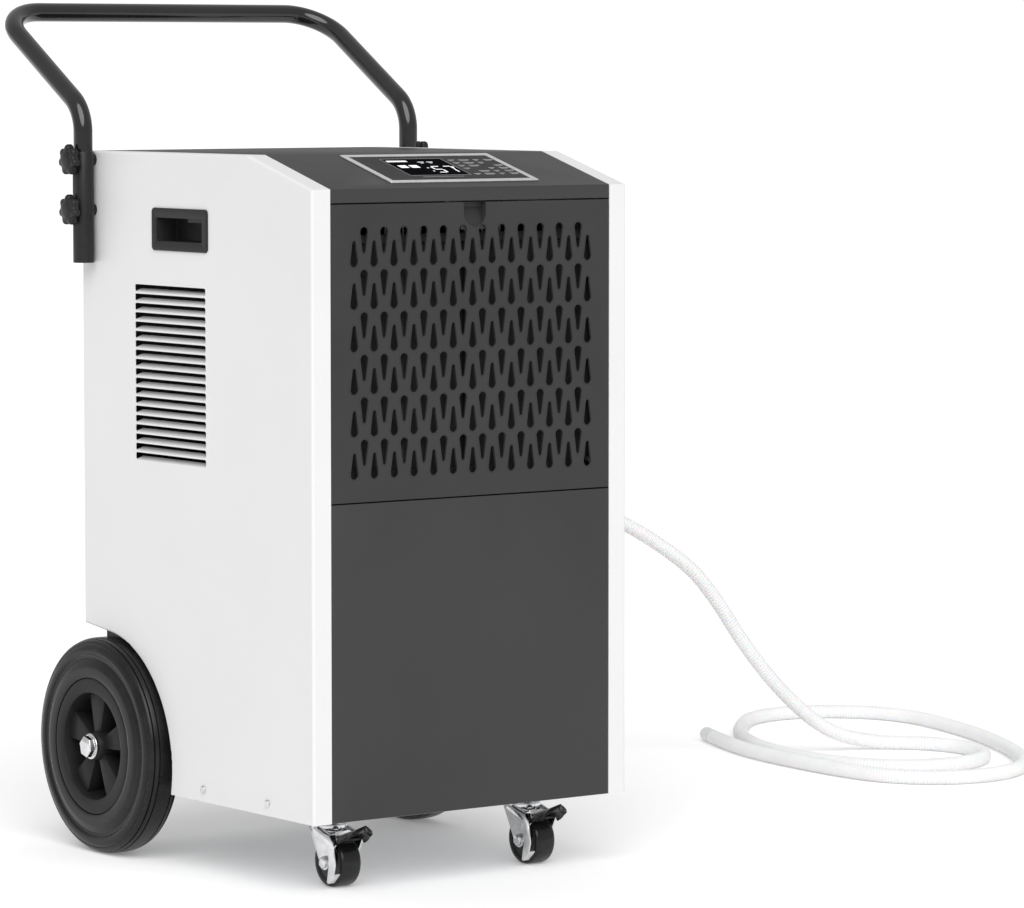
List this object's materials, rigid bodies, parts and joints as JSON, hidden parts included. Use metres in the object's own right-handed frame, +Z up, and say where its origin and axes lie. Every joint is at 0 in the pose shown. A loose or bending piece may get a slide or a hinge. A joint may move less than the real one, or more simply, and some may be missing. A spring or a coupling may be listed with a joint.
{
  "type": "portable dehumidifier",
  "caption": "Wheeled sheet-metal dehumidifier with a perforated tilting grille, sloped control panel, bent-tube push handle, large rear wheels, braked swivel casters and a ribbed drain hose.",
  "frame": {"origin": "on the floor, under the centre of the machine's overall box without its drain hose", "axes": "+X to the right of someone facing the machine, -Y out of its front, +Z up"},
  "size_m": [1.5244, 0.8556, 0.9812],
  "materials": {
    "white_sheet": "smooth white powder coat",
    "grey_sheet": "fine dark grey powder coat",
    "galvanised": "plain",
    "plated": "bright zinc plate",
    "grey_grille": "fine satin",
    "black_moulding": "moulded",
    "filter_cloth": "woven",
    "silver_trim": "satin",
    "touch_sheet": "satin film",
    "display": "clear gloss",
    "black_tube": "gloss",
    "tyre_rubber": "satin",
    "rim_plastic": "satin",
    "coil_fins": "mill",
    "tray_plastic": "moulded",
    "shroud_steel": "plain",
    "motor_shell": "semi-gloss",
    "impeller_plastic": "moulded",
    "rubber_feet": "matt",
    "copper": "drawn",
    "pump_plastic": "moulded",
    "outlet_plastic": "moulded",
    "hose_plastic": "ribbed, slightly clear",
    "cuff_rubber": "matt"
  },
  "bodies": {
    "cabinet": {"axle_bolts": "plated", "axle_brackets": "galvanised", "back_panel": "grey_sheet", "base_pan": "galvanised", "cable_gland": "black_moulding", "case_screws": "plated", "caster_screws": "plated", "compressor": "motor_shell", "compressor_grommets": "rubber_feet", "condensate_pump": "pump_plastic", "condensate_tank": "tray_plastic", "condenser_coil": "coil_fins", "control_bezel": "silver_trim", "control_box": "pump_plastic", "control_overlay": "touch_sheet", "display_window": "display", "door_hinge_pins": "galvanised", "drain_hose": "hose_plastic", "drain_outlet": "outlet_plastic", "drip_tray": "tray_plastic", "evaporator_coil": "coil_fins", "fan_motor": "motor_shell", "fan_shroud": "shroud_steel", "handle_tube": "black_tube", "hose_end_cuff": "cuff_rubber", "left_caster_plate": "plated", "left_grip_cup": "black_moulding", "left_handle_sleeve": "black_moulding", "left_side_panel": "white_sheet", "lower_front_panel": "grey_sheet", "rear_axle": "galvanised", "refrigerant_pipes": "copper", "right_caster_plate": "plated", "right_grip_cup": "black_moulding", "right_handle_sleeve": "black_moulding", "right_side_panel": "white_sheet", "top_cover": "grey_sheet", "wheel_wells": "grey_sheet"},
    "grille_door": {"front_grille": "grey_grille", "filter_frame": "black_moulding", "filter_mesh": "filter_cloth"},
    "fan": {"fan_impeller": "impeller_plastic"},
    "left_wheel": {"left_tyre": "tyre_rubber", "left_rim": "rim_plastic"},
    "left_swivel": {"left_caster_fork": "plated", "left_caster_axle": "plated"},
    "left_caster_roll": {"left_caster_wheel": "black_moulding"},
    "left_brake": {"left_brake_pedal": "black_moulding", "left_brake_lever": "plated"},
    "left_upper_knob_turn": {"left_upper_knob": "black_moulding"},
    "left_lower_knob_turn": {"left_lower_knob": "black_moulding"},
    "right_wheel": {"right_tyre": "tyre_rubber", "right_rim": "rim_plastic"},
    "right_swivel": {"right_caster_fork": "plated", "right_caster_axle": "plated"},
    "right_caster_roll": {"right_caster_wheel": "black_moulding"},
    "right_brake": {"right_brake_pedal": "black_moulding", "right_brake_lever": "plated"},
    "right_upper_knob_turn": {"right_upper_knob": "black_moulding"},
    "right_lower_knob_turn": {"right_lower_knob": "black_moulding"}
  },
  "joints": [
    {"name": "grille_tilt", "type": "hinge", "parent": "cabinet", "child": "grille_door", "pos_m": [0, -0.3165, 0.447], "axis": [1, 0, 0], "range_deg": [0, 75]},
    {"name": "fan_spin", "type": "hinge", "parent": "cabinet", "child": "fan", "pos_m": [0, -0.1575, 0.6], "axis": [0, 1, 0], "continuous": true},
    {"name": "left_wheel_spin", "type": "hinge", "parent": "cabinet", "child": "left_wheel", "pos_m": [-0.212, 0.1015, 0.125], "axis": [1, 0, 0], "continuous": true},
    {"name": "left_caster_swivel", "type": "hinge", "parent": "cabinet", "child": "left_swivel", "pos_m": [-0.134, -0.2335, 0.07], "axis": [0, 0, 1], "continuous": true},
    {"name": "left_caster_spin", "type": "hinge", "parent": "left_swivel", "child": "left_caster_roll", "pos_m": [-0.134, -0.2515, 0.028], "axis": [1, 0, 0], "continuous": true},
    {"name": "left_brake_press", "type": "hinge", "parent": "left_swivel", "child": "left_brake", "pos_m": [-0.134, -0.271, 0.0545], "axis": [1, 0, 0], "range_deg": [0, 12]},
    {"name": "left_upper_knob_turn_joint", "type": "hinge", "parent": "cabinet", "child": "left_upper_knob_turn", "pos_m": [-0.241, 0.1245, 0.8], "axis": [1, 0, 0], "continuous": true},
    {"name": "left_lower_knob_turn_joint", "type": "hinge", "parent": "cabinet", "child": "left_lower_knob_turn", "pos_m": [-0.241, 0.1245, 0.7426], "axis": [1, 0, 0], "continuous": true},
    {"name": "right_wheel_spin", "type": "hinge", "parent": "cabinet", "child": "right_wheel", "pos_m": [0.212, 0.1015, 0.125], "axis": [1, 0, 0], "continuous": true},
    {"name": "right_caster_swivel", "type": "hinge", "parent": "cabinet", "child": "right_swivel", "pos_m": [0.134, -0.2335, 0.07], "axis": [0, 0, 1], "continuous": true},
    {"name": "right_caster_spin", "type": "hinge", "parent": "right_swivel", "child": "right_caster_roll", "pos_m": [0.134, -0.2515, 0.028], "axis": [1, 0, 0], "continuous": true},
    {"name": "right_brake_press", "type": "hinge", "parent": "right_swivel", "child": "right_brake", "pos_m": [0.134, -0.271, 0.0545], "axis": [1, 0, 0], "range_deg": [0, 12]},
    {"name": "right_upper_knob_turn_joint", "type": "hinge", "parent": "cabinet", "child": "right_upper_knob_turn", "pos_m": [0.241, 0.1245, 0.8], "axis": [1, 0, 0], "continuous": true},
    {"name": "right_lower_knob_turn_joint", "type": "hinge", "parent": "cabinet", "child": "right_lower_knob_turn", "pos_m": [0.241, 0.1245, 0.7426], "axis": [1, 0, 0], "continuous": true}
  ]
}
